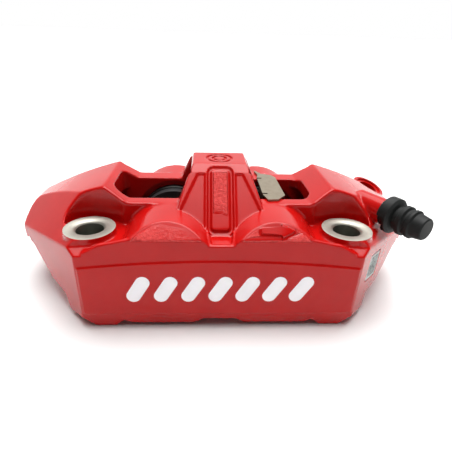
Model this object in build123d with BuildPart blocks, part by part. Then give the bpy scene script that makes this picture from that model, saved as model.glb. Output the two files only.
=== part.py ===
"""Four-piston radial-mount motorcycle brake caliper, one-piece body, with pads and hydraulics.

Frame: the origin lies midway between the two mounting holes on the mounting plane, X runs
along the two holes, +Y points from the outer face towards the wheel, and +Z points away from
the axle. All lengths are in millimetres.
"""
import math
import os

from build123d import *

# ---------------------------------------------------------------- driving dimensions
MOUNT_SPACING = 100.0        # centre distance of the radial mounting holes
MOUNT_HOLE_R = 5.25          # clearance for M10
MOUNT_BOSS_R = 9.7
MOUNT_BOSS_TOP = 38.0        # machined spot face above the mounting plane

DISC_AXIS_Z = -119.0         # height of the disc's axis
ARCH_R = 164.0               # inner arch over the disc's rim
CROWN_R = 175.5              # outer crown, concentric with the disc
SLOT_NEAR_Y = 13.1           # inner wall of the outer half
SLOT_FAR_Y = 36.4            # inner wall of the wheel-side half
MID_Y = (SLOT_NEAR_Y + SLOT_FAR_Y) / 2

FRONT_Y = -13.5              # outer face
BACK_Y = 55.5                # wheel-side face
DECK_Z = 45.0                # flat top beside the windows
RIDGE_X = 46.0               # crest at each end of the windows
END_X = 87.0                 # half of the overall length
END_LOW_Z = 20.3
END_TOP_Z = 26.5

PISTON_R = 15.95
BORE_R = 16.0                # 0.05 radial running clearance
PISTON_X = 20.0              # pistons stand at plus and minus this
PISTON_Z = 25.2
HOUSING_R = 19.8             # round housing around each bore
CRESCENT_RISE = 53.5         # bevel plane of the front housings: z = y + this
OUTER_BORE_FLOOR_Y = -3.5
RELIEF_R = 18.6              # shallow counterbore round each bore mouth
RELIEF_DEPTH = 1.6

FLUID_SEAL_SET = 6.0         # seal grooves, measured from the slot wall into the bore
DUST_SEAL_SET = 2.6
SEAL_WIDTH = 3.0
DUST_SEAL_WIDTH = 2.0
SEAL_GROOVE_R = 18.1
GROOVE_SLACK = 0.1           # free space beside and outside a seal in its groove

PISTON_PROUD = 0.9           # how far a retracted piston stands out of the slot wall
PISTON_LENGTH = 15.5
PISTON_CUP_R = 12.4
PISTON_FLOOR = 4.0

CAP_FLANGE_R = 18.0          # screwed caps that close the wheel-side bores
CAP_SEAT_DEPTH = 2.8

PAD_GAP = 0.1                # between a piston's rim and the pad's plate
PLATE_THICK = 4.0
LINING_THICK = 3.6
PAD_HALF = 44.6

BRIDGE_TOP_Z = 58.5
BRIDGE_HALF = 11.6           # half of its width over the slot
BRIDGE_SLOPE = 42.8          # front slope of the bridge: z = y + this
BRIDGE_EDGE_Y = 13.2         # where the slope meets the top facet

PIN_R = 2.4                  # pad retaining pin
PIN_HOLE_R = 2.5
PIN_Z = 39.8

BLEED_AXIS = Vector(0.5, -0.8660254, 0)
BLEED_RING = Vector(68.9, 5.3, 42.0)     # centre of the rubber cap's thick collar
INLET_CENTRE = Vector(76.5, 45.0, 39.0)  # mouth of the hose port
INLET_AXIS = Vector(0.3, -0.2, 0.93).normalized()
PORT_R = 4.5                 # tapped M10 x 1, at its crests

POCKET_FLOOR_Z = 35.5        # sunk area around the front housings
DECK_FRONT_Y = 7.4
FRONT_WALL_START_X = 29.0
FRONT_WALL_THICK = 2.6
LEFT_WINDOW_X = -43.4
LEFT_WINDOW_CORNER = 6.5
LEFT_WINDOW_BACK_CORNER = 3.5
RIGHT_WINDOW_X = 38.3
RIGHT_WINDOW_CORNER = 5.5

CROWN_BACK_Y = 44.0          # back edge of the deck and the crown

ABUTMENT_FACE_X = 45.5       # end faces of the pads' pocket
ABUTMENT_PROUD = 7.6         # step from the pads' pocket to the narrow part of the slot

CAP_SEAT_Y = BACK_Y + 1.5 - CAP_SEAT_DEPTH
DRILLING_R = 1.5
PIN_BLIND_Y = 4.0
PIN_BOSS_Y = 54.0
INLET_BOSS_R = 8.0
INLET_BOSS_DEPTH = 14.0
PORT_DEPTH = 10.0
PORT_SEAT_R = 6.3            # sunk washer seat round the hose port
PORT_SEAT_SUNK = 0.8
PORT_SEAT_CLEAR = 10.0       # height cleared above the seat
BLEED_SEAT = 2.2             # neck face, behind the cap's collar centre
BLEED_NECK_R = 5.2
BLEED_NECK_LENGTH = 14.0
BLEED_HOLE_R = 3.9
BLEED_HOLE_DEPTH = 12.0
PANEL_SUNK = 0.6
RIB_HALF = 3.6               # rib down the middle of the bridge's front slope
RIB_TOP = 25.4               # length of the rib, up the slope
GROOVE_WIDTH = 1.5
GROOVE_SUNK = 1.1
TROUGH_FLOOR_Z = 36.8        # trough between the foot of the rib and the outer face
FIELD_PROUD = 0.7            # raised field on the outer face
ARROW_PROUD = 0.8
RING_MARK_SUNK = 0.8

CAP_SPIGOT = 2.8
ORING_GROOVE = 1.7
ORING_SECTION_R = 0.75
ORING_INNER_R = 14.4

PAD_LOW_Z = 2.2
PAD_MIDDLE_Z = 8.0
PAD_LOBE_R = 15.2
PAD_PIN_HOLE_R = 2.7

PIN_CLIP_Y = PIN_BOSS_Y + 2.6
CLIP_WIRE_R = 0.6
SPRING_THICK = 0.8
SPRING_LEG_Z = 41.5
WEAR_PLATE = 0.6
WEAR_PLATE_LOW_Z = 7.0

BLEED_SHANK_R = 3.8
CAP_HEX_R = 4.9
CAP_NIPPLE_R = 3.1
CAP_COLLAR_R = 7.3
CAP_END = 15.8

LABEL_SIZE = 10.8
LABEL_SUNK = 0.4
LABEL_TILT = math.radians(8)   # turn of the label within its own plane
LABEL_SEAT = Plane(
    origin=(62.6, -2.96, 22.8),
    x_dir=Vector(0.6675, 0.7446, 0) * math.cos(LABEL_TILT) - Vector(0, 0, math.sin(LABEL_TILT)),
    z_dir=(0.7446, -0.6675, 0),
)

SIDES = {"left": -1, "right": 1}


def crown_z(x, radius=CROWN_R):
    """Height of the circle concentric with the disc at a distance x from the middle."""
    return DISC_AXIS_Z + math.sqrt(radius**2 - x**2)


def facing(y):
    """Plane square to Y at the given y, with its normal towards +Y and local x along -X."""
    return Plane(origin=(0, y, 0), x_dir=(-1, 0, 0), z_dir=(0, 1, 0))


def finish(builder, label):
    """Label a finished piece and write it."""
    builder.part.label = label
    export_step(builder.part, f"parts/{label}.step")


os.makedirs("parts", exist_ok=True)

# ---------------------------------------------------------------- body: tool solids
# Round housings of the two outer bores, bevelled along their front rim.
with BuildPart() as front_housings:
    with BuildSketch(facing(FRONT_Y)):
        with Locations((-PISTON_X, PISTON_Z), (PISTON_X, PISTON_Z)):
            Circle(HOUSING_R)
    extrude(amount=SLOT_NEAR_Y - FRONT_Y)
    bevel = Plane(origin=(0, 0, CRESCENT_RISE), z_dir=(0, -1, 1))
    split(bisect_by=bevel, keep=Keep.BOTTOM)

# Housings of the two wheel-side bores, with a small edge break at the back.
with BuildPart() as back_housings:
    with BuildSketch(facing(SLOT_FAR_Y)):
        with Locations((-PISTON_X, PISTON_Z), (PISTON_X, PISTON_Z)):
            Circle(HOUSING_R)
    extrude(amount=BACK_Y + 1.5 - SLOT_FAR_Y)
    chamfer(back_housings.faces().filter_by(Axis.Y).group_by(Axis.Y)[-1].edges(), 1.2)

# Bridge over the disc, between the two windows: a trapezium along Y, cut by its side profile.
with BuildPart() as bridge:
    with BuildSketch(Plane.XZ.offset(-FRONT_Y)):
        with BuildLine():
            Polyline(
                (-17.4, 20), (-17.2, 43), (-15.6, 47.9), (-14, 51.6), (-12.2, 56),
                (-10.8, BRIDGE_TOP_Z), (0, BRIDGE_TOP_Z), (0, 20), close=True,
            )
        make_face()
        mirror(about=Plane.YZ)
    extrude(amount=-(BACK_Y - FRONT_Y))
    # Upright sides where the bridge crosses the slot.
    with BuildSketch(Plane.XY.offset(20)):
        for side in SIDES.values():
            with Locations((side * (BRIDGE_HALF + 5), MID_Y)):
                Rectangle(10, SLOT_FAR_Y - SLOT_NEAR_Y)
    extrude(amount=40, mode=Mode.SUBTRACT)
    with BuildSketch(Plane.YZ.offset(-30)):
        with BuildLine():
            Polyline(
                (FRONT_Y, 20), (FRONT_Y, 37.5), (-4, BRIDGE_SLOPE - 4),
                (BRIDGE_EDGE_Y, BRIDGE_SLOPE + BRIDGE_EDGE_Y), (17, BRIDGE_TOP_Z),
                (2 * MID_Y - 17, BRIDGE_TOP_Z),
                (2 * MID_Y - BRIDGE_EDGE_Y, BRIDGE_SLOPE + BRIDGE_EDGE_Y),
                (50, 2 * MID_Y + BRIDGE_SLOPE - 50), (50, 20), close=True,
            )
        make_face()
    extrude(amount=60, mode=Mode.INTERSECT)

# ---------------------------------------------------------------- body
with BuildPart() as caliper_body:
    # Silhouette from the front, over the whole depth.
    with BuildSketch(Plane.XZ.offset(-FRONT_Y)):
        with BuildLine():
            Polyline(
                (0, 3.8), (6.5, 3.8), (10, 1.5), (34.5, 1.5), (37.5, 3.2), (41, 0), (60.5, 0),
                (62.5, 8.7), (70.2, 10.3), (81.4, 20.1), (END_X, END_LOW_Z), (END_X, END_TOP_Z),
            )
            ThreePointArc(
                (RIDGE_X, crown_z(RIDGE_X)), (64.0, crown_z(64.0)), (80.0, crown_z(80.0))
            )
            ThreePointArc((80.0, crown_z(80.0)), (85.2, 32.6), (END_X, END_TOP_Z))
            Polyline((RIDGE_X, crown_z(RIDGE_X)), (36.4, DECK_Z), (0, DECK_Z))
            mirror(about=Plane.YZ)
        make_face()
    extrude(amount=-(BACK_Y - FRONT_Y))

    # Outline from above.
    with BuildSketch(Plane.XY.offset(-5)):
        with BuildLine():
            Polyline(
                (0, FRONT_Y), (53.2, FRONT_Y), (54.5, -12), (86.3, 23.5), (END_X, 25),
                (END_X, CROWN_BACK_Y), (85, 50), (78, 54), (48, BACK_Y), (0, BACK_Y),
            )
            mirror(about=Plane.YZ)
        make_face()
    extrude(amount=80, mode=Mode.INTERSECT)

    # Long facets between the crown and the slanted sides.
    for side in SIDES.values():
        facet = Plane(origin=(side * 57.5, -8.6, 34.6), z_dir=(side * 0.613, -0.375, 0.695))
        split(bisect_by=facet, keep=Keep.BOTTOM)
        corner = Plane(origin=(side * 54.5, -12.3, 5.0), z_dir=(side * 0.5, -0.62, -0.6))
        split(bisect_by=corner, keep=Keep.BOTTOM)

    # Conical bevel along the back edge of the crown, concentric with the disc.
    with BuildSketch(Plane.YZ):
        with BuildLine():
            Polyline(
                (CROWN_BACK_Y, DISC_AXIS_Z + CROWN_R), (CROWN_BACK_Y, 70), (70, 70),
                (70, DISC_AXIS_Z + CROWN_R + CROWN_BACK_Y - 70), close=True,
            )
        make_face()
    revolve(axis=Axis((0, 0, DISC_AXIS_Z), (0, 1, 0)), mode=Mode.SUBTRACT)

    # Sunk front between the bosses, the ridge and the deck.
    with BuildSketch(Plane.XY.offset(POCKET_FLOOR_Z)):
        with BuildLine():
            Line((0, DECK_FRONT_Y), (38.5, DECK_FRONT_Y))
            Spline((38.5, DECK_FRONT_Y), (45.5, 10.7), (54.5, 11.6), (59.5, 9.0), (60.6, 3.6))
            Polyline((60.6, 3.6), (52, 0), (52, FRONT_Y - 1), (0, FRONT_Y - 1))
            mirror(about=Plane.YZ)
        make_face()
    extrude(amount=30, mode=Mode.SUBTRACT)

    # Shelf at boss height outside the pocket, then a slope down to the outer face.
    for side in SIDES.values():
        with BuildSketch(Plane.XY.offset(MOUNT_BOSS_TOP)):
            with Locations((side * 60, -5)):
                Rectangle(18, 17.2)
        extrude(amount=20, mode=Mode.SUBTRACT)
        with BuildSketch(Plane.YZ.offset(side * FRONT_WALL_START_X)):
            with BuildLine():
                Polyline((-14, 32.8), (-9.9, POCKET_FLOOR_Z - 0.3), (-9.9, 45), (-14, 45), close=True)
            make_face()
        extrude(amount=side * 40, mode=Mode.SUBTRACT)

    # Low wall along the front edge, from each round housing down into the boss.
    with BuildSketch(Plane.XZ.offset(-FRONT_Y)):
        with BuildLine():
            Polyline(
                (FRONT_WALL_START_X, 32), (FRONT_WALL_START_X, 40.6), (34.5, 39.8), (39, 38.7),
                (44, 37.7), (46.6, 36.2), (50, 34.3), (50, 32), close=True,
            )
        make_face()
        mirror(about=Plane.YZ)
    extrude(amount=-FRONT_WALL_THICK)

    # Mounting bosses.
    with BuildSketch(Plane.XY):
        with GridLocations(MOUNT_SPACING, 1, 2, 1):
            Circle(MOUNT_BOSS_R)
    extrude(amount=MOUNT_BOSS_TOP)

    # Windows through the deck, before the bridge crosses between them.
    with BuildSketch(Plane.XY.offset(30)):
        with BuildLine():
            Polyline(
                (LEFT_WINDOW_X, SLOT_NEAR_Y), (RIGHT_WINDOW_X, SLOT_NEAR_Y),
                (RIGHT_WINDOW_X, SLOT_FAR_Y), (LEFT_WINDOW_X, SLOT_FAR_Y), close=True,
            )
        make_face()
        fillet(vertices().group_by(Axis.X)[-1], RIGHT_WINDOW_CORNER)
        fillet(vertices().group_by(Axis.X)[0].sort_by(Axis.Y)[0], LEFT_WINDOW_CORNER)
        fillet(vertices().group_by(Axis.X)[0].sort_by(Axis.Y)[-1], LEFT_WINDOW_BACK_CORNER)
    extrude(amount=30, mode=Mode.SUBTRACT)

    # Raised field on the outer face, and the bevels under it.
    with BuildSketch(Plane.YZ.offset(-60)):
        with BuildLine():
            Polyline((-14, -1), (-11.8, -1), (FRONT_Y, 6.9), (-14, 6.9), close=True)
        make_face()
    extrude(amount=120, mode=Mode.SUBTRACT)
    with BuildSketch(Plane.XZ.offset(-FRONT_Y)):
        with BuildLine():
            Line((-52.4, 7.4), (52.4, 7.4))
            Line((52.4, 7.4), (52.4, 28.2))
            ThreePointArc((52.4, 28.2), (0, 31.3), (-52.4, 28.2))
            Line((-52.4, 28.2), (-52.4, 7.4))
        make_face()
    extrude(amount=FIELD_PROUD)

    # Back of the wheel-side half, stepped down behind the deck and around the pad pin.
    with BuildSketch(Plane.XY.offset(40)):
        with BuildLine():
            Polyline((0, 44), (44, 44), (50, 49), (50, 60), (0, 60))
            mirror(about=Plane.YZ)
        make_face()
    extrude(amount=20, mode=Mode.SUBTRACT)
    with BuildSketch(Plane.XY.offset(33)):
        with Locations((0, 55.5)):
            Rectangle(24, 11)
    extrude(amount=20, mode=Mode.SUBTRACT)

    add(front_housings.part)
    add(back_housings.part)
    add(bridge.part)

    # Boss and flat for the pad pin, and the boss of the hose port.
    with BuildSketch(facing(44)):
        with Locations((0, PIN_Z)):
            Circle(6.5)
    extrude(amount=PIN_BOSS_Y - 44)
    with BuildSketch(Plane(INLET_CENTRE, z_dir=INLET_AXIS)):
        Circle(INLET_BOSS_R)
    extrude(amount=-INLET_BOSS_DEPTH)

    # Neck that carries the bleed screw.
    with BuildSketch(Plane(BLEED_RING - BLEED_AXIS * BLEED_SEAT, z_dir=BLEED_AXIS)):
        Circle(BLEED_NECK_R)
    extrude(amount=-BLEED_NECK_LENGTH)

    # Slot under the arch: wide between the abutments for the pads, narrow beyond for the disc.
    for near, far, half_length in (
        (SLOT_NEAR_Y, SLOT_FAR_Y, ABUTMENT_FACE_X),
        (SLOT_NEAR_Y + ABUTMENT_PROUD, SLOT_FAR_Y - ABUTMENT_PROUD, END_X + 5),
    ):
        with BuildSketch(Plane.XZ.offset(-near)):
            with Locations((0, DISC_AXIS_Z)):
                Circle(ARCH_R)
            with Locations((0, 20)):
                Rectangle(2 * half_length, 80, mode=Mode.INTERSECT)
        extrude(amount=-(far - near), mode=Mode.SUBTRACT)

    # Bores, their mouths and seal grooves, mirrored about the middle plane.
    for x in (-PISTON_X, PISTON_X):
        for wall, into in ((SLOT_NEAR_Y, -1), (SLOT_FAR_Y, 1)):
            depth = SLOT_NEAR_Y - OUTER_BORE_FLOOR_Y if into < 0 else BACK_Y + 5 - SLOT_FAR_Y
            cuts = (
                (0, depth, BORE_R),
                (0, RELIEF_DEPTH, RELIEF_R),
                (DUST_SEAL_SET, DUST_SEAL_WIDTH + 2 * GROOVE_SLACK, SEAL_GROOVE_R),
                (FLUID_SEAL_SET, SEAL_WIDTH + 2 * GROOVE_SLACK, SEAL_GROOVE_R),
            )
            for start, length, radius in cuts:
                near, far = wall + into * start, wall + into * (start + length)
                with BuildSketch(facing(min(near, far))):
                    with Locations((-x, PISTON_Z)):
                        Circle(radius)
                extrude(amount=length, mode=Mode.SUBTRACT)
        with BuildSketch(facing(CAP_SEAT_Y)):
            with Locations((-x, PISTON_Z)):
                Circle(CAP_FLANGE_R + 0.05)
        extrude(amount=10, mode=Mode.SUBTRACT)

    # Drilling between the two bores of each half.
    for y in (OUTER_BORE_FLOOR_Y + 2.5, CAP_SEAT_Y - 5.5):
        with BuildSketch(Plane.YZ.offset(-8)):
            with Locations((y, PISTON_Z)):
                Circle(DRILLING_R)
        extrude(amount=16, mode=Mode.SUBTRACT)

    # Pad pin holes: blind in the outer half, through in the wheel-side half.
    with BuildSketch(facing(PIN_BLIND_Y)):
        with Locations((0, PIN_Z)):
            Circle(PIN_HOLE_R)
    extrude(amount=70, mode=Mode.SUBTRACT)

    # Mounting holes with a chamfered mouth.
    with BuildSketch(Plane.XY.offset(-1)):
        with GridLocations(MOUNT_SPACING, 1, 2, 1):
            Circle(MOUNT_HOLE_R)
    extrude(amount=60, mode=Mode.SUBTRACT)
    for side in SIDES.values():
        with Locations(Pos(side * MOUNT_SPACING / 2, 0, MOUNT_BOSS_TOP - 0.4)):
            Cone(MOUNT_HOLE_R, MOUNT_HOLE_R + 0.9, 0.9, mode=Mode.SUBTRACT)

    # Hose port, with its washer seat faced clear of the crown, and bleed port.
    port_seat = Plane(INLET_CENTRE - INLET_AXIS * PORT_SEAT_SUNK, z_dir=INLET_AXIS)
    with BuildSketch(port_seat):
        Circle(PORT_SEAT_R)
    extrude(amount=PORT_SEAT_CLEAR, mode=Mode.SUBTRACT)
    with BuildSketch(port_seat):
        Circle(PORT_R)
    extrude(amount=-PORT_DEPTH, mode=Mode.SUBTRACT)
    with BuildSketch(Plane(BLEED_RING - BLEED_AXIS * BLEED_SEAT, z_dir=BLEED_AXIS)):
        Circle(BLEED_HOLE_R)
    extrude(amount=-BLEED_HOLE_DEPTH, mode=Mode.SUBTRACT)

    # Sunk side panels and grooves on the bridge's front slope.
    slope = Plane(origin=(0, -3.8, 39.0), x_dir=(1, 0, 0), z_dir=(0, -1, 1))
    with BuildSketch(slope):
        with BuildLine():
            Line((5.9, 0.2), (5.9, 23.6))
            Line((5.9, 23.6), (9.0, 23.6))
            Line((9.0, 23.6), (16.0, 7.1))
            ThreePointArc((16.0, 7.1), (10.6, 4.4), (5.9, 0.2))
        make_face()
        mirror(about=Plane.YZ)
    extrude(amount=-PANEL_SUNK, mode=Mode.SUBTRACT)
    with BuildSketch(slope):
        with Locations((0, RIB_TOP / 2)):
            RectangleRounded(2 * (RIB_HALF + GROOVE_WIDTH), RIB_TOP + 2 * GROOVE_WIDTH, 2.6)
            RectangleRounded(2 * RIB_HALF, RIB_TOP, 1.4, mode=Mode.SUBTRACT)
    extrude(amount=-GROOVE_SUNK, mode=Mode.SUBTRACT)
    with BuildSketch(Plane.XY.offset(TROUGH_FLOOR_Z)):
        with BuildLine():
            Polyline((-4.6, -4.3), (-3.7, -11.6), (3.7, -11.6), (4.6, -4.3), close=True)
        make_face()
    extrude(amount=5, mode=Mode.SUBTRACT)

    # Plain concentric ring mark on top of the bridge.
    with BuildSketch(Plane.XY.offset(BRIDGE_TOP_Z)):
        with Locations((0, MID_Y)):
            Circle(5.6)
            Circle(4.6, mode=Mode.SUBTRACT)
            Circle(3.2)
            Circle(2.2, mode=Mode.SUBTRACT)
    extrude(amount=-RING_MARK_SUNK, mode=Mode.SUBTRACT)

    # Direction arrow cast on the right-hand front housing.
    crescent = Plane(origin=(PISTON_X, -11.0, CRESCENT_RISE - 11.0), x_dir=(1, 0, 0), z_dir=(0, -1, 1))
    with BuildSketch(crescent):
        with BuildLine():
            Polyline(
                (-5.9, -1.0), (1.7, -1.0), (1.7, -2.6), (6.2, 0), (1.7, 2.6), (1.7, 1.0),
                (-5.9, 1.0), close=True,
            )
        make_face()
    extrude(amount=ARROW_PROUD)

    # Shallow seat of the label on the right-hand slanted side.
    with BuildSketch(LABEL_SEAT):
        Rectangle(LABEL_SIZE + 1.0, LABEL_SIZE + 1.0)
    extrude(amount=-LABEL_SUNK, mode=Mode.SUBTRACT)

finish(caliper_body, "caliper_body")

# ---------------------------------------------------------------- pistons and seals
# Each half has the same set, so one loop places it from the slot wall into the bore.
for half, wall, into in (("outboard", SLOT_NEAR_Y, -1), ("inboard", SLOT_FAR_Y, 1)):
    for name, side in SIDES.items():
        bore_mouth = Plane(
            origin=(side * PISTON_X, wall, PISTON_Z), x_dir=(1, 0, 0), z_dir=(0, into, 0)
        )

        # Cup piston, open towards the pad, with a grip groove for the dust seal's lip.
        with BuildPart() as piston:
            with BuildSketch(bore_mouth.offset(-PISTON_PROUD)):
                Circle(PISTON_R)
            extrude(amount=PISTON_LENGTH)
            with BuildSketch(bore_mouth.offset(-PISTON_PROUD)):
                Circle(PISTON_CUP_R)
            extrude(amount=PISTON_LENGTH - PISTON_FLOOR, mode=Mode.SUBTRACT)
            rims = piston.edges().filter_by(GeomType.CIRCLE)
            chamfer(rims.group_by(SortBy.RADIUS)[-1], 0.4)
            chamfer(rims.group_by(SortBy.RADIUS)[0].group_by(Axis.Y)[0 if into > 0 else -1], 0.6)
        finish(piston, f"{half}_piston_{name}")

        # Square-section pressure seal and thinner dust seal, each in its own groove.
        for seal_name, seal_set, width in (
            ("fluid_seal", FLUID_SEAL_SET, SEAL_WIDTH),
            ("dust_seal", DUST_SEAL_SET, DUST_SEAL_WIDTH),
        ):
            with BuildPart() as seal:
                with BuildSketch(bore_mouth.offset(seal_set + GROOVE_SLACK)):
                    Circle(SEAL_GROOVE_R - GROOVE_SLACK)
                    Circle(BORE_R, mode=Mode.SUBTRACT)
                extrude(amount=width)
            finish(seal, f"{half}_{seal_name}_{name}")

# ---------------------------------------------------------------- bore caps
for name, side in SIDES.items():
    cap_seat = Plane(
        origin=(side * PISTON_X, CAP_SEAT_Y, PISTON_Z), x_dir=(-1, 0, 0), z_dir=(0, 1, 0)
    )

    # Screwed cap with an O-ring groove on its spigot and a stepped, pin-drive face.
    with BuildPart() as bore_cap:
        with BuildSketch(cap_seat):
            Circle(CAP_FLANGE_R)
        extrude(amount=CAP_SEAT_DEPTH)
        with BuildSketch(cap_seat.offset(-CAP_SPIGOT)):
            Circle(BORE_R - 0.05)
        extrude(amount=CAP_SPIGOT)
        with BuildSketch(cap_seat.offset(-CAP_SPIGOT + 0.6)):
            Circle(BORE_R + 1)
            Circle(ORING_INNER_R, mode=Mode.SUBTRACT)
        extrude(amount=ORING_GROOVE, mode=Mode.SUBTRACT)
        with BuildSketch(cap_seat.offset(CAP_SEAT_DEPTH)):
            Circle(13.2)
        extrude(amount=-1.4, mode=Mode.SUBTRACT)
        with BuildSketch(cap_seat.offset(CAP_SEAT_DEPTH)):
            with PolarLocations(9.0, 4):
                Circle(1.6)
        extrude(amount=-3.6, mode=Mode.SUBTRACT)
        outer_face = bore_cap.faces().filter_by(Axis.Y).sort_by(Axis.Y)[-1]
        chamfer(outer_face.edges().sort_by(SortBy.RADIUS)[-1], 0.5)
    finish(bore_cap, f"bore_cap_{name}")

    with BuildPart() as bore_cap_oring:
        ring_centre = cap_seat.offset(-CAP_SPIGOT + 0.6 + ORING_GROOVE / 2)
        with Locations(ring_centre):
            Torus(ORING_INNER_R + ORING_SECTION_R + 0.02, ORING_SECTION_R)
    finish(bore_cap_oring, f"bore_cap_oring_{name}")

# ---------------------------------------------------------------- pads
for half, wall, into in (("outboard", SLOT_NEAR_Y, 1), ("inboard", SLOT_FAR_Y, -1)):
    plate_start = wall + into * (PISTON_PROUD + PAD_GAP)
    lining_start = plate_start + into * PLATE_THICK

    # Steel plate: two lobes over the pistons, end ears, and a lug with the pin's hole.
    with BuildPart() as pad_plate:
        with BuildSketch(facing(plate_start)) as plate_outline:
            with BuildLine():
                Polyline((-38, 11), (-PAD_HALF, 11), (-PAD_HALF, 31), (-38, 35), (38, 35))
                Polyline((38, 35), (PAD_HALF, 31), (PAD_HALF, 11), (38, 11), (38, PAD_LOW_Z))
                ThreePointArc((38, PAD_LOW_Z), (0, PAD_MIDDLE_Z), (-38, PAD_LOW_Z))
                Line((-38, PAD_LOW_Z), (-38, 11))
            make_face()
            with Locations((-PISTON_X, PISTON_Z), (PISTON_X, PISTON_Z)):
                Circle(PAD_LOBE_R)
            with Locations((0, PIN_Z)):
                Circle(4.4)
            with Locations((0, PIN_Z - 4)):
                Rectangle(8.8, 8)
            with Locations((0, PIN_Z)):
                Circle(PAD_PIN_HOLE_R, mode=Mode.SUBTRACT)
        extrude(amount=into * PLATE_THICK)
    finish(pad_plate, f"{half}_pad_plate")

    # Friction lining bonded to the plate, split by a wear groove.
    with BuildPart() as pad_lining:
        with BuildSketch(facing(lining_start)):
            with BuildLine():
                Line((-37, PAD_LOW_Z + 1), (-36, 34))
                ThreePointArc((-36, 34), (0, 36.4), (36, 34))
                Line((36, 34), (37, PAD_LOW_Z + 1))
                ThreePointArc((37, PAD_LOW_Z + 1), (0, PAD_MIDDLE_Z + 0.8), (-37, PAD_LOW_Z + 1))
            make_face()
        extrude(amount=into * LINING_THICK)
        with BuildSketch(facing(lining_start + into * 1.2)):
            with Locations((0, 20)):
                Rectangle(2.4, 60)
        extrude(amount=into * LINING_THICK, mode=Mode.SUBTRACT)
    finish(pad_lining, f"{half}_pad_lining")

# ---------------------------------------------------------------- pad pin, clip and spring
with BuildPart() as pad_pin:
    with BuildSketch(facing(PIN_BLIND_Y + 0.5)):
        with Locations((0, PIN_Z)):
            Circle(PIN_R)
    extrude(amount=PIN_BOSS_Y + 3.4 - PIN_BLIND_Y)
    with BuildSketch(facing(PIN_BOSS_Y + 0.1)):
        with Locations((0, PIN_Z)):
            Circle(4.2)
            RegularPolygon(1.9, 6, mode=Mode.SUBTRACT)
    extrude(amount=1.6)
    chamfer(pad_pin.faces().sort_by(Axis.Y)[0].edges(), 0.6)
    with BuildSketch(Plane.XY):
        with Locations((0, PIN_CLIP_Y)):
            Circle(CLIP_WIRE_R + 0.1)
    extrude(amount=60, mode=Mode.SUBTRACT)
finish(pad_pin, "pad_pin")

# Wire clip: one straight leg through the pin, one bowed leg over it.
with BuildPart() as pad_pin_clip:
    with BuildLine() as clip_path:
        FilletPolyline(
            (0, PIN_CLIP_Y, PIN_Z - 4.5), (0, PIN_CLIP_Y, PIN_Z + 7.5),
            (3.4, PIN_CLIP_Y, PIN_Z + 7.5), (3.4, PIN_CLIP_Y, PIN_Z + 2),
            (5.2, PIN_CLIP_Y, PIN_Z - 0.5), radius=1.2,
        )
    with BuildSketch(Plane(clip_path.line @ 0, z_dir=clip_path.line % 0)):
        Circle(CLIP_WIRE_R)
    sweep()
finish(pad_pin_clip, "pad_pin_clip")

# Leaf spring that bridges the right-hand window, with a turned lip and two legs on the pads.
with BuildPart() as pad_spring:
    with BuildSketch(Plane.XY.offset(DECK_Z + 0.1)):
        with BuildLine():
            Polyline(
                (18.2, 15.5), (19.6, 10.0), (24.0, 10.5), (27.4, 14.9), (26.9, 36.6),
                (25.2, 39.6), (19.4, 41.6), (18.2, 36), close=True,
            )
        make_face()
        for y in (16.5, 35.0):
            with Locations((18.6, y)):
                SlotOverall(3.6, 1.1, mode=Mode.SUBTRACT)
    extrude(amount=SPRING_THICK)
    with BuildSketch(Plane.XZ.offset(-18.5)):
        with BuildLine():
            Polyline(
                (18.2, DECK_Z + 0.5), (18.2, DECK_Z - 2.2), (18.9, DECK_Z - 2.2),
                (18.9, DECK_Z + 0.5), close=True,
            )
        make_face()
    extrude(amount=-8)
    for y in (17.0, 31.6):
        with BuildSketch(Plane.XY.offset(SPRING_LEG_Z)):
            with Locations((22.5, y)):
                Rectangle(5.0, SPRING_THICK)
        extrude(amount=DECK_Z + 0.5 - SPRING_LEG_Z)
    with BuildSketch(Plane.XY.offset(DECK_Z + 0.1)):
        with BuildLine():
            Polyline((19.0, 39.5), (21.4, 39.5), (20.4, 42), (18.4, 45.5), (18.0, 45.2), close=True)
        make_face()
    extrude(amount=SPRING_THICK)
finish(pad_spring, "pad_spring")

# Stainless wear plates between the pads' ears and the abutments.
with BuildPart() as abutment_plates:
    for side in SIDES.values():
        for wall, depth in ((SLOT_NEAR_Y, 1), (SLOT_FAR_Y, -1)):
            with BuildSketch(Plane.XY.offset(WEAR_PLATE_LOW_Z)):
                with Locations(
                    (side * (ABUTMENT_FACE_X - WEAR_PLATE / 2), wall + depth * (ABUTMENT_PROUD / 2))
                ):
                    Rectangle(WEAR_PLATE, ABUTMENT_PROUD - 0.4)
            extrude(amount=25)
finish(abutment_plates, "abutment_plates")

# ---------------------------------------------------------------- bleed screw and cap
def bleed_plane(distance):
    """Plane square to the bleed screw, at a distance outward from the cap's collar."""
    return Plane(BLEED_RING + BLEED_AXIS * distance, x_dir=(0, 0, 1), z_dir=BLEED_AXIS)


with BuildPart() as bleed_screw:
    with BuildSketch(bleed_plane(-BLEED_SEAT - 9.6)):
        Circle(BLEED_SHANK_R)
    extrude(amount=9.8)
    with BuildSketch(bleed_plane(-BLEED_SEAT - 9.6)):
        Circle(BLEED_SHANK_R)
    extrude(amount=-2.0, taper=50)
    with BuildSketch(bleed_plane(-BLEED_SEAT + 0.2)):
        RegularPolygon(4.0, 6, major_radius=False)
    extrude(amount=4.6)
    with BuildSketch(bleed_plane(-BLEED_SEAT + 4.8)):
        Circle(2.2)
    extrude(amount=9.4)
    with BuildSketch(bleed_plane(9.0)):
        Circle(2.9)
    extrude(amount=3.0, taper=14)
    with BuildSketch(bleed_plane(-8)):
        Circle(0.9)
    extrude(amount=30, mode=Mode.SUBTRACT)
finish(bleed_screw, "bleed_screw")

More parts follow.
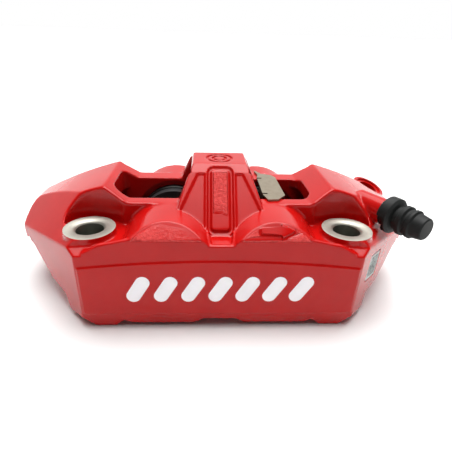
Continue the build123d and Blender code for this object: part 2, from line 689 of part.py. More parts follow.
# Moulded rubber cap: thick collar, two ribs, blunt tapered end, hollow inside.
with BuildPart() as bleed_cap:
    half_section = Plane(BLEED_RING, x_dir=(0, 0, 1), z_dir=Vector(0, 0, 1).cross(BLEED_AXIS))
    with BuildSketch(half_section):
        with BuildLine():
            Polyline(
                (CAP_HEX_R, -1.9), (6.6, -1.9), (CAP_COLLAR_R, -1.2), (CAP_COLLAR_R, 2.4),
                (6.4, 3.4), (4.9, 3.9), (4.9, 5.4), (6.0, 6.0), (6.0, 7.6), (5.2, 8.2),
                (5.2, 9.2), (5.7, 9.8), (5.7, 11.0), (5.0, 11.6), (4.4, 15.4), (4.0, CAP_END),
                (0, CAP_END), (0, 12.6), (CAP_NIPPLE_R, 12.6), (CAP_NIPPLE_R, 3.0),
                (CAP_HEX_R, 3.0), close=True,
            )
        make_face()
    revolve(axis=Axis(BLEED_RING, BLEED_AXIS))
    # Hollow in the front lower side of the collar.
    with BuildSketch(bleed_plane(-3)):
        with BuildLine():
            Polyline((0, 0), (1.2, 10), (-8, 12), (-12, 3.5), close=True)
        make_face()
        Circle(CAP_HEX_R + 0.4, mode=Mode.SUBTRACT)
    extrude(amount=4.7, mode=Mode.SUBTRACT)
finish(bleed_cap, "bleed_cap")

# ---------------------------------------------------------------- label
with BuildPart() as side_label:
    with BuildSketch(LABEL_SEAT.offset(-LABEL_SUNK)):
        Rectangle(LABEL_SIZE, LABEL_SIZE)
        fillet(vertices(), 0.6)
    extrude(amount=LABEL_SUNK - 0.05)
finish(side_label, "side_label")
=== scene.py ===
"""Looks of the brake caliper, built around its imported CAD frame. Lengths are in metres."""
import math

import bmesh
import bpy
import numpy as np
from mathutils import Matrix, Vector


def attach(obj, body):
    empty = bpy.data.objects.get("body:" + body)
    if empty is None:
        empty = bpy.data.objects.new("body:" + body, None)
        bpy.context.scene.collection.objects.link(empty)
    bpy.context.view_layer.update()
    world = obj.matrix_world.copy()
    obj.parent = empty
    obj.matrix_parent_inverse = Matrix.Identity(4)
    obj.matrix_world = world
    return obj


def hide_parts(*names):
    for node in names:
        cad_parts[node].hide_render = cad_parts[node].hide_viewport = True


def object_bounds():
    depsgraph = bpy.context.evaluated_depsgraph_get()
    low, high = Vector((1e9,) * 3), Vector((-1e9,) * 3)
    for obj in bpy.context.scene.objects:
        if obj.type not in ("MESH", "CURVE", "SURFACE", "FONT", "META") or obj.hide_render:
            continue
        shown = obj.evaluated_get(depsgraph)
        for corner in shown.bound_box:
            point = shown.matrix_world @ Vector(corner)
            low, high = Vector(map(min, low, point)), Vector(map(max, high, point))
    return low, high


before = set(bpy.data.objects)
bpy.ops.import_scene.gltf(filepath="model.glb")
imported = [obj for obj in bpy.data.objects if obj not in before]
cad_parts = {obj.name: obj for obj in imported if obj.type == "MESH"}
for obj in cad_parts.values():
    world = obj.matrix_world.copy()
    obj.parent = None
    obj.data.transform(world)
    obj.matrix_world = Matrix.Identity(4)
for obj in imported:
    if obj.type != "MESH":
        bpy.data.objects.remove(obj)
CAD_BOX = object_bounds()

MM = 0.001

# ---------------------------------------------------------------- places from the design
MOUNT_X = 0.050
MOUNT_HOLE_R = 0.00525
BOSS_R = 0.0097
SEAT_Z = 0.03795
SEAT_STRIP = 0.00012          # bare height left on the wall beside a seat
PISTON_X, PISTON_Z = 0.020, 0.0252
BORE_R = 0.016
NEAR_BORE_LENGTH, FAR_BORE_LENGTH = 17.6 * MM, 19.8 * MM    # each from 1 mm inside the slot
COUNTERBORE_R, COUNTERBORE_DEPTH = 0.0186, 0.0016
CAP_SEAT_Y, CAP_SEAT_R = 0.0542, 0.01805
PIN_Z, PIN_HOLE_R = 0.0398, 0.0025
SLOT_NEAR_Y, SLOT_FAR_Y = 0.0131, 0.0364
CRESCENT_RISE = 0.0535        # bevel plane of the front housings: z = y + this
SLOPE_RISE = 0.0428           # front slope of the bridge: z = y + this
RIB_HALF = 0.0027             # rough strip down the middle of that slope
RIB_LOW_Z, RIB_HIGH_Z = 0.0440, 0.0561
HOUSING_R = 0.0190
ARROW_Y = -0.0110
ARROW_FIELD_X, ARROW_FIELD_Y = 0.0068, 0.0024    # half sizes of the smooth field round the arrow
FIELD_Y = -0.0142
MIDDLE_Y = (SLOT_NEAR_Y + SLOT_FAR_Y) / 2
BRIDGE_TOP_Z = 0.0585
BLEED_RING = Vector((0.0689, 0.0053, 0.0420))
BLEED_AXIS = Vector((0.5, -0.8660254, 0.0))
BLEED_HOLE_R = 0.0039
BLEED_HOLE_START_MM, BLEED_HOLE_LENGTH = 14.2, 13 * MM      # the hole starts this far inside
INLET_CENTRE = Vector((0.0765, 0.0450, 0.0390))
INLET_AXIS = Vector((0.3, -0.2, 0.93)).normalized()
PORT_R, PORT_DEPTH = 0.0045, 0.0108
PORT_SEAT_R, PORT_SEAT_SUNK = 0.0063, 0.0008
Y_AXIS, Z_AXIS = Vector((0, 1, 0)), Vector((0, 0, 1))
LABEL_CENTRE = Vector((0.0626, -0.00296, 0.0228))
LABEL_SEAT_HALF = 0.0059
LABEL_CELL = 0.0007
LABEL_BORDER = 0.00455, 0.0047                   # where the squares end and the border begins
LABEL_TURN = (
    Matrix(((0.6675, 0, 0.7446), (0.7446, 0, -0.6675), (0, 1, 0))).to_4x4()
    @ Matrix.Rotation(math.radians(-8), 4, "Z")
).to_euler()

# Plugs that close the machined holes while the casting is rounded.
NEAR_PLUG_R, NEAR_PLUG_LENGTH = 18.8 * MM, 17.5 * MM
FAR_PLUG_R, FAR_PLUG_LENGTH = 18.7 * MM, 20.6 * MM
PORT_PLUGS_MM = ((5, 11.5), (6.8, 1.5))
BLEED_PLUG_START_MM = 15
BLEED_PLUG_R, BLEED_PLUG_LENGTH = 4.3 * MM, 12.8 * MM
PIN_PLUG_Y, PIN_PLUG_R, PIN_PLUG_LENGTH = 3.5 * MM, 3 * MM, 50.5 * MM

VOXEL = 0.34 * MM
RELAX_STEPS = 16
EDGE_STEPS = 40
EDGE_REACH = 2.0 * MM         # width rounded on each side of the pockets' upper edges
BODY_FACES = 180_000
SEGMENTS = 96                 # sides of every round cut
FLOOR_GAP = 0.0002
# Upper edge of the right-hand pocket seen from above, in mm; the left one mirrors it.
POCKET_EDGE = ((18, 7.4), (38.5, 7.4), (45.5, 10.7), (54.5, 11.6), (59.5, 9.0), (60.6, 3.6))


# ---------------------------------------------------------------- materials
class Nodes:
    """A material with a Principled shader and short calls for the nodes that feed it."""

    def __init__(self, name, **sockets):
        self.material = bpy.data.materials.new(name)
        self.material.use_nodes = True
        self.tree = self.material.node_tree
        self.shader = self.tree.nodes["Principled BSDF"]
        for socket, value in sockets.items():
            self.shader.inputs[socket.replace("_", " ")].default_value = value

    def add(self, kind, **values):
        node = self.tree.nodes.new(kind)
        for key, value in values.items():
            if key in node.inputs.keys():
                node.inputs[key].default_value = value
            else:
                setattr(node, key, value)
        return node

    def link(self, source, target):
        self.tree.links.new(source, target)

    def noise(self, scale, detail=2.0, roughness=0.5, distortion=0.0, stretch=None):
        """Noise in the row frame; stretch scales the coordinates along X, Y and Z."""
        place = self.add("ShaderNodeTexCoord").outputs["Object"]
        if stretch:
            mapping = self.add("ShaderNodeMapping", Scale=stretch)
            self.link(place, mapping.inputs["Vector"])
            place = mapping.outputs["Vector"]
        texture = self.add(
            "ShaderNodeTexNoise", Scale=scale, Detail=detail, Roughness=roughness,
            Distortion=distortion,
        )
        self.link(place, texture.inputs["Vector"])
        return texture.outputs["Fac"]

    def ramp(self, fac, low, high, colour_low, colour_high):
        ramp = self.add("ShaderNodeValToRGB")
        ramp.color_ramp.elements[0].position = low
        ramp.color_ramp.elements[0].color = (*colour_low, 1)
        ramp.color_ramp.elements[1].position = high
        ramp.color_ramp.elements[1].color = (*colour_high, 1)
        self.link(fac, ramp.inputs["Fac"])
        return ramp.outputs["Color"]

    def span(self, value, from_low, from_high, to_low, to_high):
        node = self.add(
            "ShaderNodeMapRange", **{
                "From Min": from_low, "From Max": from_high, "To Min": to_low, "To Max": to_high
            }
        )
        self.link(value, node.inputs["Value"])
        return node.outputs["Result"]

    def multiply(self, a, b):
        node = self.add("ShaderNodeMath", operation="MULTIPLY")
        self.link(a, node.inputs[0])
        self.link(b, node.inputs[1])
        return node.outputs[0]

    def mix(self, factor, a, b):
        node = self.add("ShaderNodeMix", data_type="RGBA")
        self.link(factor, node.inputs["Factor"])
        for slot, value in (("A", a), ("B", b)):
            socket = [i for i in node.inputs if i.name == slot and i.type == "RGBA"][0]
            self.link(value, socket)
        return [o for o in node.outputs if o.type == "RGBA"][0]

    def bump(self, height, distance, strength=1.0, before=None):
        node = self.add("ShaderNodeBump", Distance=distance, Strength=strength)
        self.link(height, node.inputs["Height"])
        if before is not None:
            self.link(before, node.inputs["Normal"])
        return node.outputs["Normal"]

    def attribute(self, name):
        return self.add("ShaderNodeAttribute", attribute_name=name).outputs["Fac"]

    def colour(self, socket):
        self.link(socket, self.shader.inputs["Base Color"])

    def roughness(self, socket):
        self.link(socket, self.shader.inputs["Roughness"])

    def normal(self, socket):
        self.link(socket, self.shader.inputs["Normal"])


def red_paint():
    """Gloss red over a casting: slight orange peel, and raw grain where rough_cast is 1, coloured
    lighter and pinker there as a painted sheen.
    """
    m = Nodes("red_paint")
    m.shader.inputs["Specular IOR Level"].default_value = 0.27
    rough = m.attribute("rough_cast")
    gloss = m.ramp(m.noise(60, 3, 0.6), 0.3, 0.7, (0.43, 0.004, 0.0035), (0.49, 0.006, 0.005))
    # painted sheen: the raw grain is coloured lighter and pinker than the gloss, standing in for
    # light caught by the rough surface
    grain_painted_sheen = m.ramp(m.noise(700, 3, 0.7), 0.3, 0.7, (0.55, 0.020, 0.018), (0.82, 0.075, 0.07))
    m.colour(m.mix(rough, gloss, grain_painted_sheen))
    m.roughness(m.span(rough, 0, 1, 0.15, 0.42))
    peel = m.bump(m.noise(420, 2), 0.00002, 0.25)
    m.normal(m.bump(m.multiply(m.noise(900, 4, 0.75, 0.6), rough), 0.0010, 1.0, peel))
    return m.material


def bare_aluminium():
    m = Nodes("bare_aluminium", Metallic=0.85, Roughness=0.5)
    m.colour(m.ramp(m.noise(300, 3, 0.6), 0.3, 0.7, (0.40, 0.39, 0.34), (0.47, 0.46, 0.40)))
    m.normal(m.bump(m.noise(1800, 2, 0.5), 0.00002, 0.5))
    return m.material


def bored_aluminium():
    """Inside of drilled and bored holes: dull, and coloured dark towards olive as painted shade
    of the holes' insides.
    """
    m = Nodes("bored_aluminium", Metallic=0.9, Roughness=0.45)
    # painted shade: far darker than the bare aluminium, standing in for the shade inside the
    # holes
    m.colour(m.ramp(m.noise(200, 3), 0.3, 0.7, (0.085, 0.09, 0.073), (0.12, 0.125, 0.103)))
    m.normal(m.bump(m.noise(600, 2, 0.5, 0, (1, 1, 6)), 0.00003, 0.5))
    return m.material


def dark_anodised():
    m = Nodes("dark_anodised", Metallic=0.75, Roughness=0.38)
    m.colour(m.ramp(m.noise(150, 3), 0.3, 0.7, (0.018, 0.019, 0.018), (0.035, 0.036, 0.034)))
    m.normal(m.bump(m.noise(900, 2, 0.5, 0, (1, 8, 1)), 0.00002, 0.4))
    return m.material


def rubber(name, low, high, rough):
    m = Nodes(name)
    m.shader.inputs["Specular IOR Level"].default_value = 0.3
    m.colour(m.ramp(m.noise(220, 4, 0.6), 0.25, 0.75, low, high))
    m.roughness(m.span(m.noise(120, 3), 0.3, 0.7, rough - 0.07, rough + 0.08))
    m.normal(m.bump(m.noise(2200, 3, 0.6), 0.00005, 0.45))
    return m.material


def steel(name, low, high, rough):
    m = Nodes(name, Metallic=1.0, Roughness=rough)
    m.colour(m.ramp(m.noise(350, 3, 0.6), 0.3, 0.7, low, high))
    m.normal(m.bump(m.noise(1500, 2, 0.5, 0, (1, 6, 1)), 0.00002, 0.5))
    return m.material


def black_coat():
    m = Nodes("black_coat", Roughness=0.5)
    m.colour(m.ramp(m.noise(180, 3), 0.3, 0.7, (0.012, 0.012, 0.013), (0.028, 0.027, 0.027)))
    m.normal(m.bump(m.noise(1400, 3, 0.6), 0.00006, 0.5))
    return m.material


def friction_lining():
    m = Nodes("friction_lining", Roughness=0.85)
    m.colour(m.ramp(m.noise(1300, 5, 0.8), 0.42, 0.6, (0.035, 0.03, 0.027), (0.13, 0.10, 0.07)))
    m.normal(m.bump(m.noise(1100, 5, 0.8), 0.0003, 0.8))
    return m.material


def label_print():
    """Pale border round a field of random grey squares, without any characters."""
    m = Nodes("label_print", Roughness=0.5)
    place = m.add("ShaderNodeTexCoord").outputs["Object"]
    turned = m.add("ShaderNodeMapping", vector_type="TEXTURE")
    turned.inputs["Location"].default_value = LABEL_CENTRE
    turned.inputs["Rotation"].default_value = LABEL_TURN
    m.link(place, turned.inputs["Vector"])
    cells = m.add("ShaderNodeVectorMath", operation="SNAP")
    cells.inputs[1].default_value = (LABEL_CELL, LABEL_CELL, 1.0)
    m.link(turned.outputs["Vector"], cells.inputs[0])
    noise = m.add("ShaderNodeTexWhiteNoise", noise_dimensions="2D")
    m.link(cells.outputs["Vector"], noise.inputs["Vector"])
    code = m.ramp(noise.outputs["Value"], 0.5, 0.52, (0.05, 0.07, 0.065), (0.34, 0.38, 0.36))
    size = m.add("ShaderNodeVectorMath", operation="ABSOLUTE")
    m.link(turned.outputs["Vector"], size.inputs[0])
    split = m.add("ShaderNodeSeparateXYZ")
    m.link(size.outputs["Vector"], split.inputs["Vector"])
    edge = m.add("ShaderNodeMath", operation="MAXIMUM")
    m.link(split.outputs["X"], edge.inputs[0])
    m.link(split.outputs["Y"], edge.inputs[1])
    border = m.span(edge.outputs[0], *LABEL_BORDER, 0, 1)
    margin = m.ramp(m.noise(150, 2), 0.3, 0.7, (0.60, 0.60, 0.58), (0.68, 0.68, 0.66))
    m.colour(m.mix(border, code, margin))
    m.normal(m.bump(m.noise(900, 2), 0.00002, 0.4))
    return m.material


def pale_print(name, low, high):
    m = Nodes(name, Roughness=0.42)
    m.colour(m.ramp(m.noise(90, 2), 0.3, 0.7, low, high))
    m.normal(m.bump(m.noise(420, 2), 0.00002, 0.35))
    return m.material


# ---------------------------------------------------------------- mesh helpers
def new_object(name, mesh, *materials):
    piece = bpy.data.objects.new(name, mesh)
    bpy.context.scene.collection.objects.link(piece)
    for material in materials:
        mesh.materials.append(material)
    return piece


def turn_to(axis):
    """Rotation that carries +Z onto axis."""
    return axis.to_track_quat("Z", "Y").to_matrix().to_4x4()


def spun(bm, centre, axis, profile, hollow=False):
    """Adds a closed solid of revolution; profile is (distance along the axis, radius) pairs.

    It starts and ends on the axis, or closes on itself when the solid is hollow.
    """
    place = Matrix.Translation(centre) @ turn_to(axis)
    rings = []
    for along, radius in profile:
        if radius < 1e-9:
            rings.append([bm.verts.new(place @ Vector((0, 0, along)))])
            continue
        angles = [2 * math.pi * i / SEGMENTS for i in range(SEGMENTS)]
        rings.append([
            bm.verts.new(place @ Vector((radius * math.cos(a), radius * math.sin(a), along)))
            for a in angles
        ])
    for low, high in zip(rings, rings[1:] + rings[:1] * hollow):
        for i in range(SEGMENTS):
            j = (i + 1) % SEGMENTS
            if len(low) == 1:
                bm.faces.new((low[0], high[j], high[i]))
            elif len(high) == 1:
                bm.faces.new((low[i], low[j], high[0]))
            else:
                bm.faces.new((low[i], low[j], high[j], high[i]))


def cylinder(bm, centre, axis, radius, length):
    """Adds a closed cylinder that starts at centre and runs along axis."""
    spun(bm, centre, axis, ((0, 0), (0, radius), (length, radius), (length, 0)))


def made(name, build, *materials):
    """Object from a function that fills a bmesh."""
    bm = bmesh.new()
    build(bm)
    bmesh.ops.recalc_face_normals(bm, faces=bm.faces)
    mesh = bpy.data.meshes.new(name)
    bm.to_mesh(mesh)
    bm.free()
    return new_object(name, mesh, *materials)


def shade(piece, angle):
    """Smooth shading with edges sharper than angle kept crisp."""
    mesh = piece.data
    mesh.polygons.foreach_set("use_smooth", [True] * len(mesh.polygons))
    mesh.set_sharp_from_angle(angle=math.radians(angle))


def apply(piece):
    """Replaces the mesh by what its modifiers give."""
    graph = bpy.context.evaluated_depsgraph_get()
    mesh = bpy.data.meshes.new_from_object(piece.evaluated_get(graph), depsgraph=graph)
    piece.modifiers.clear()
    old = piece.data
    piece.data = mesh
    bpy.data.meshes.remove(old)


def combine(piece, cutter, operation):
    """Joins cutter to piece or takes it away; the new faces get the cutter's material."""
    step = piece.modifiers.new("combine", "BOOLEAN")
    step.operation = operation
    step.solver = "MANIFOLD"
    step.material_mode = "TRANSFER"
    step.object = cutter
    apply(piece)
    bpy.data.objects.remove(cutter)


# ---------------------------------------------------------------- body
def hole_plugs(bm):
    """Solids that close every machined hole flush, so the casting is rounded without them.

    Each plug is a little wider and deeper than its hole, so that no sliver of the hole is left.
    """
    for side in (-1, 1):
        cylinder(bm, Vector((side * MOUNT_X, 0, 0)), Z_AXIS, MOUNT_HOLE_R + 0.9 * MM, SEAT_Z)
        near = Vector((side * PISTON_X, SLOT_NEAR_Y - NEAR_PLUG_LENGTH, PISTON_Z))
        cylinder(bm, near, Y_AXIS, NEAR_PLUG_R, NEAR_PLUG_LENGTH)
        far = Vector((side * PISTON_X, SLOT_FAR_Y, PISTON_Z))
        cylinder(bm, far, Y_AXIS, FAR_PLUG_R, FAR_PLUG_LENGTH)
    for radius, length in PORT_PLUGS_MM:
        start = INLET_CENTRE - INLET_AXIS * length * MM
        cylinder(bm, start, INLET_AXIS, radius * MM, length * MM)
    start = BLEED_RING - BLEED_AXIS * BLEED_PLUG_START_MM * MM
    cylinder(bm, start, BLEED_AXIS, BLEED_PLUG_R, BLEED_PLUG_LENGTH)
    cylinder(bm, Vector((0, PIN_PLUG_Y, PIN_Z)), Y_AXIS, PIN_PLUG_R, PIN_PLUG_LENGTH)


def bosses(bm):
    """Crisp round bosses under the bolt seats."""
    for side in (-1, 1):
        cylinder(bm, Vector((side * MOUNT_X, 0, 31 * MM)), Z_AXIS, BOSS_R, 8 * MM)


def prism(bm, place, outline, low, high, bevel=0.0):
    """Adds a prism over a flat outline in the frame of place, with its top edges bevelled when
    bevel is given.
    """
    rings = [[bm.verts.new(place @ Vector((x, y, z))) for x, y in outline] for z in (low, high)]
    bm.faces.new(rings[0][::-1])
    top = bm.faces.new(rings[1])
    for i in range(len(outline)):
        j = (i + 1) % len(outline)
        bm.faces.new((rings[0][i], rings[0][j], rings[1][j], rings[1][i]))
    if bevel:
        bmesh.ops.bevel(
            bm, geom=list(top.edges), offset=bevel, segments=3, profile=0.5, affect="EDGES"
        )


def arrow(bm):
    """Direction arrow on the bevel of the right-hand front housing."""
    up = Vector((0, 1, 1)).normalized()
    normal = Vector((0, -1, 1)).normalized()
    centre = Vector((PISTON_X, ARROW_Y, CRESCENT_RISE + ARROW_Y))
    place = Matrix.Translation(centre) @ Matrix((
        (1, 0, 0), (0, up.y, normal.y), (0, up.z, normal.z)
    )).to_4x4()
    outline = (
        (-6, -1.1), (1.6, -1.1), (1.6, -2.8), (6.4, 0), (1.6, 2.8), (1.6, 1.1), (-6, 1.1)
    )
    prism(bm, place, [(x * MM, y * MM) for x, y in outline], -0.6 * MM, 0.85 * MM, 0.35 * MM)


def label_seat(bm):
    """Shallow square seat of the side label."""
    half = LABEL_SEAT_HALF
    place = Matrix.Translation(LABEL_CENTRE) @ LABEL_TURN.to_matrix().to_4x4()
    outline = ((-half, -half), (half, -half), (half, half), (-half, half))
    prism(bm, place, outline, -0.4 * MM, 2 * MM)


def ring_mark(bm):
    """Two sunk rings on top of the bridge."""
    for inner, outer in ((4.6 * MM, 5.6 * MM), (2.2 * MM, 3.2 * MM)):
        spun(bm, Vector((0, MIDDLE_Y, BRIDGE_TOP_Z)), Z_AXIS, (
            (-0.6 * MM, inner), (-0.6 * MM, outer), (MM, outer), (MM, inner)
        ), hollow=True)


def bolt_seats(bm):
    """Faced bolt seats, each with the bevelled mouth of its hole."""
    for side in (-1, 1):
        spun(bm, Vector((side * MOUNT_X, 0, SEAT_Z)), Z_AXIS, (
            (-1.2 * MM, 0), (-1.2 * MM, MOUNT_HOLE_R - 0.1 * MM), (-1.0 * MM, MOUNT_HOLE_R),
            (0, MOUNT_HOLE_R + 1.0 * MM), (0, BOSS_R + 0.03 * MM),
            (SEAT_STRIP, BOSS_R + 0.03 * MM), (SEAT_STRIP, 0),
        ))


def painted_recesses(bm):
    """Clearance over the bolt seats, counterbores, cap seats and the hose port, all painted."""
    for side in (-1, 1):
        above = Vector((side * MOUNT_X, 0, SEAT_Z + 0.5 * SEAT_STRIP))
        cylinder(bm, above, Z_AXIS, BOSS_R + 0.03 * MM, 5 * MM)
        for wall, axis in ((SLOT_NEAR_Y, -Y_AXIS), (SLOT_FAR_Y, Y_AXIS)):
            start = Vector((side * PISTON_X, wall, PISTON_Z)) - axis * MM
            cylinder(bm, start, axis, COUNTERBORE_R, COUNTERBORE_DEPTH + MM)
        cylinder(bm, Vector((side * PISTON_X, CAP_SEAT_Y, PISTON_Z)), Y_AXIS, CAP_SEAT_R, 4 * MM)
    spun(bm, INLET_CENTRE, INLET_AXIS, (
        (-PORT_DEPTH, 0), (-PORT_DEPTH, PORT_R), (-PORT_SEAT_SUNK, PORT_R),
        (-PORT_SEAT_SUNK, PORT_SEAT_R), (9 * MM, PORT_SEAT_R), (9 * MM, 0),
    ))


def machined_holes(bm):
    """Bores and bolt holes, cut crisp after the casting is rounded."""
    for side in (-1, 1):
        cylinder(bm, Vector((side * MOUNT_X, 0, -MM)), Z_AXIS, MOUNT_HOLE_R, 39.5 * MM)
        for wall, axis, length in (
            (SLOT_NEAR_Y, -Y_AXIS, NEAR_BORE_LENGTH), (SLOT_FAR_Y, Y_AXIS, FAR_BORE_LENGTH)
        ):
            start = Vector((side * PISTON_X, wall, PISTON_Z)) - axis * MM
            cylinder(bm, start, axis, BORE_R, length)
    start = BLEED_RING - BLEED_AXIS * BLEED_HOLE_START_MM * MM
    cylinder(bm, start, BLEED_AXIS, BLEED_HOLE_R, BLEED_HOLE_LENGTH)
    cylinder(bm, Vector((0, 4 * MM, PIN_Z)), Y_AXIS, PIN_HOLE_R, 9.5 * MM)
    cylinder(bm, Vector((0, 36 * MM, PIN_Z)), Y_AXIS, PIN_HOLE_R, 20 * MM)


def rough_cast(points):
    """1 where the casting is left raw: the front bevels and the rib on the bridge's slope. The
    paint is rougher and bumpier there, and coloured lighter as a painted sheen.
    """
    x, y, z = points.T
    bevel = np.abs(z - (y + CRESCENT_RISE)) < 0.00045
    bevel &= (y < -0.0085) & (np.hypot(np.abs(x) - PISTON_X, z - PISTON_Z) < HOUSING_R)
    bevel &= (np.abs(x - PISTON_X) > ARROW_FIELD_X) | (np.abs(y - ARROW_Y) > ARROW_FIELD_Y)
    slope = np.abs(z - (y + SLOPE_RISE)) < 0.0006
    rib = slope & (np.abs(x) < RIB_HALF) & (z > RIB_LOW_Z) & (z < RIB_HIGH_Z)
    return (bevel | rib).astype(np.float32)


def smoothing_share(points):
    """How much each point is rounded: less where small features stand."""
    x, y, z = points.T
    share = np.full(len(points), 0.8, np.float32)
    slope = (np.abs(z - (y + SLOPE_RISE)) < 0.003) & (np.abs(x) < 0.018) & (y < 0.0165)
    crescent = (np.abs(z - (y + CRESCENT_RISE)) < 0.002) & (y < -0.006)
    label = (x > 0.056) & (np.abs(z - LABEL_CENTRE.z) < 0.0085) & (np.abs(y + 0.003) < 0.008)
    front_field = (y < -0.0125) & (z < 0.033)
    for area, level in ((slope, 0.22), (crescent, 0.25), (label, 0.2), (front_field, 0.35)):
        share[area] = level
    return share


def near_pocket_edge(points):
    """True within reach of the pockets' upper edges, seen from above."""
    place = np.stack((np.abs(points[:, 0]), points[:, 1]), axis=1)
    nearest = np.full(len(points), np.inf)
    for start, end in zip(POCKET_EDGE, POCKET_EDGE[1:]):
        start, run = np.array(start) * MM, np.subtract(end, start) * MM
        along = np.clip((place - start) @ run / (run @ run), 0, 1)
        gap = place - start - along[:, None] * run
        nearest = np.minimum(nearest, np.hypot(*gap.T))
    return (nearest < EDGE_REACH) & (points[:, 2] > SEAT_Z + 0.3 * MM)


def level_field(mesh):
    """Keeps the front field a hair behind its print, and everything within the designed depth."""
    points = np.empty(len(mesh.vertices) * 3, np.float32)
    mesh.vertices.foreach_get("co", points)
    points[1::3] = np.maximum(points[1::3], FIELD_Y + 0.06 * MM)
    mesh.vertices.foreach_set("co", points)


def cast_body(paint, bare, bored):
    """The body with rounded cast edges, then its machined seats and holes."""
    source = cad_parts["caliper_body"]
    bm = bmesh.new()
    bm.from_mesh(source.data)
    hole_plugs(bm)
    mesh = bpy.data.meshes.new("body_casting")
    bm.to_mesh(mesh)
    bm.free()
    mesh.materials.clear()
    body = new_object("body_casting", mesh, paint)
    remesh = body.modifiers.new("remesh", "REMESH")
    remesh.mode = "VOXEL"
    remesh.voxel_size = VOXEL
    remesh.adaptivity = 0
    apply(body)
    points = np.empty(len(body.data.vertices) * 3, np.float32)
    body.data.vertices.foreach_get("co", points)
    group = body.vertex_groups.new(name="share")
    points = points.reshape(-1, 3).astype(float)
    share = smoothing_share(points)
    for level in sorted(set(share.tolist())):
        group.add(np.flatnonzero(share == np.float32(level)).tolist(), level, "REPLACE")
    relax = body.modifiers.new("relax", "SMOOTH")
    relax.factor = 0.5
    relax.iterations = RELAX_STEPS
    relax.vertex_group = "share"
    edge = body.vertex_groups.new(name="edge")
    edge.add(np.flatnonzero(near_pocket_edge(points)).tolist(), 1.0, "REPLACE")
    round_off = body.modifiers.new("round_off", "SMOOTH")
    round_off.factor = 0.5
    round_off.iterations = EDGE_STEPS
    round_off.vertex_group = "edge"
    thin = body.modifiers.new("thin", "DECIMATE")
    faces = 2 * len(body.data.polygons)
    thin.ratio = min(1.0, BODY_FACES / faces)
    apply(body)
    body.vertex_groups.clear()
    level_field(body.data)
    combine(body, made("bosses", bosses, paint), "UNION")
    combine(body, made("arrow", arrow, paint), "UNION")
    combine(body, made("label_seat", label_seat, paint), "DIFFERENCE")
    combine(body, made("ring_mark", ring_mark, paint), "DIFFERENCE")
    combine(body, made("recesses", painted_recesses, paint), "DIFFERENCE")
    combine(body, made("seats", bolt_seats, bare), "DIFFERENCE")
    combine(body, made("holes", machined_holes, bored), "DIFFERENCE")
    points = np.empty(len(body.data.vertices) * 3, np.float32)
    body.data.vertices.foreach_get("co", points)
    layer = body.data.attributes.new("rough_cast", "FLOAT", "POINT")
    layer.data.foreach_set("value", rough_cast(points.reshape(-1, 3).astype(float)))
    shade(body, 50)
    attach(body, "caliper")
    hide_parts("caliper_body")


def field_print(material):
    """Row of plain white slanted dashes on the front field."""
    pitch, lean, low, high, half = 10.3, 3.6, 16.2, 22.2, 2.7
    bars = [((i * pitch - lean / 2, low), (i * pitch + lean / 2, high)) for i in range(-3, 4)]

    def outline(bm):
        for (x0, z0), (x1, z1) in bars:
            along = Vector((x1 - x0, z1 - z0))
            angle = math.atan2(along.y, along.x)
            ring = []
            for end, (x, z) in enumerate(((x1, z1), (x0, z0))):
                for step in range(17):
                    turn = angle - math.pi / 2 + math.pi * (end + step / 16)
                    across, up = half * math.cos(turn), half * math.sin(turn)
                    ring.append(((x + across) * MM, (z + up) * MM))
            front = [bm.verts.new((x, FIELD_Y, z)) for x, z in ring]
            back = [bm.verts.new((x, FIELD_Y + 0.25 * MM, z)) for x, z in ring]
            bm.faces.new(front)
            bm.faces.new(back[::-1])
            for i in range(len(ring)):
                j = (i + 1) % len(ring)
                bm.faces.new((front[j], front[i], back[i], back[j]))

    piece = made("field_stripes", outline, material)
    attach(piece, "caliper")


# ---------------------------------------------------------------- stage, light, camera
def floor_and_light():
    floor_material = Nodes("floor_paper", Roughness=0.9)
    floor_material.colour(floor_material.ramp(
        floor_material.noise(20, 2), 0.3, 0.7, (0.78, 0.78, 0.775), (0.81, 0.81, 0.805)
    ))
    mesh = bpy.data.meshes.new("floor")
    half = 30.0
    corners = [(-half, -half, 0), (half, -half, 0), (half, half, 0), (-half, half, 0)]
    mesh.from_pydata(corners, [], [(0, 1, 2, 3)])
    floor = new_object("floor", mesh, floor_material.material)
    floor.location.z = CAD_BOX[0].z - FLOOR_GAP

    world = bpy.data.worlds.new("studio")
    bpy.context.scene.world = world
    world.use_nodes = True
    tree = world.node_tree
    place = tree.nodes.new("ShaderNodeTexCoord")
    split = tree.nodes.new("ShaderNodeSeparateXYZ")
    tree.links.new(place.outputs["Generated"], split.inputs["Vector"])

    def ramp(axis, low, high, start, end):
        node = tree.nodes.new("ShaderNodeMapRange")
        for name, value in (
            ("From Min", low), ("From Max", high), ("To Min", start), ("To Max", end)
        ):
            node.inputs[name].default_value = value
        tree.links.new(split.outputs[axis], node.inputs["Value"])
        return node.outputs["Result"]

    def joined(operation, a, b):
        node = tree.nodes.new("ShaderNodeMath")
        node.operation = operation
        tree.links.new(a, node.inputs[0])
        tree.links.new(b, node.inputs[1])
        return node.outputs[0]

    behind = ramp("Y", 0.1, 0.8, 0.03, 1.0)
    horizon = ramp("Z", 0.10, 0.42, 0.55, 0.0)
    overhead = ramp("Z", 0.84, 0.97, 0.0, 5.5)
    strength = joined("ADD", joined("MAXIMUM", behind, horizon), overhead)
    tree.links.new(strength, tree.nodes["Background"].inputs["Strength"])
    tree.nodes["Background"].inputs["Color"].default_value = (1, 1, 1, 1)

    lamp = bpy.data.lights.new("overhead", "SUN")
    lamp.energy = 2.2
    lamp.angle = math.radians(55)
    light = bpy.data.objects.new("overhead", lamp)
    shines_along = Vector((-0.12, -0.35, -1))
    light.rotation_euler = shines_along.to_track_quat("-Z", "Y").to_euler()
    bpy.context.scene.collection.objects.link(light)


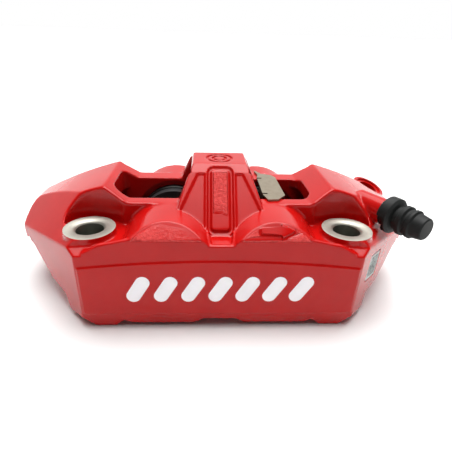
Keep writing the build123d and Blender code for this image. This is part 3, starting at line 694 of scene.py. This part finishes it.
def camera():
    """Close wide-angle view from the front, a little above."""
    data = bpy.data.cameras.new("camera")
    data.sensor_width = 36.0
    data.lens = 29.95
    data.shift_x = 0.0121
    data.clip_start, data.clip_end = 0.005, 20.0
    view = bpy.data.objects.new("camera", data)
    yaw, pitch, roll = (math.radians(a) for a in (-3.204, -27.308, -1.842))
    turn = (
        Matrix.Rotation(yaw, 4, "Z") @ Matrix.Rotation(pitch, 4, "X")
        @ Matrix.Rotation(roll, 4, "Y") @ Matrix.Rotation(math.pi / 2, 4, "X")
    )
    eye = (-0.00718, -0.12918, 0.10568)
    view.matrix_world = Matrix.Translation(eye) @ turn
    bpy.context.scene.collection.objects.link(view)
    bpy.context.scene.camera = view


# ---------------------------------------------------------------- assembly
def paint_nodes(material, *names):
    for name in names:
        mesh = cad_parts[name].data
        mesh.materials.clear()
        mesh.materials.append(material)


paint, bare, bored = red_paint(), bare_aluminium(), bored_aluminium()
cast_body(paint, bare, bored)
seal_rubber = rubber("seal_rubber", (0.012, 0.012, 0.012), (0.03, 0.03, 0.03), 0.55)
cap_rubber = rubber("cap_rubber", (0.0015, 0.0022, 0.002), (0.004, 0.005, 0.0045), 0.6)
turned = steel("turned_steel", (0.42, 0.41, 0.39), (0.56, 0.55, 0.52), 0.3)
strip = steel("stainless_strip", (0.24, 0.20, 0.145), (0.30, 0.255, 0.19), 0.42)
piston_finish = dark_anodised()
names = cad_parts.keys()
paint_nodes(piston_finish, *[n for n in names if "piston" in n])
paint_nodes(seal_rubber, *[n for n in names if "seal" in n or "oring" in n])
paint_nodes(paint, "bore_cap_left", "bore_cap_right")
paint_nodes(turned, "pad_pin", "pad_pin_clip", "bleed_screw")
paint_nodes(strip, "pad_spring", "abutment_plates")
paint_nodes(black_coat(), "outboard_pad_plate", "inboard_pad_plate")
paint_nodes(friction_lining(), "outboard_pad_lining", "inboard_pad_lining")
paint_nodes(cap_rubber, "bleed_cap")
paint_nodes(label_print(), "side_label")

field_print(pale_print("white_print", (0.92, 0.90, 0.93), (0.97, 0.95, 0.97)))
floor_and_light()
camera()
bpy.context.scene.view_settings.view_transform = "Standard"
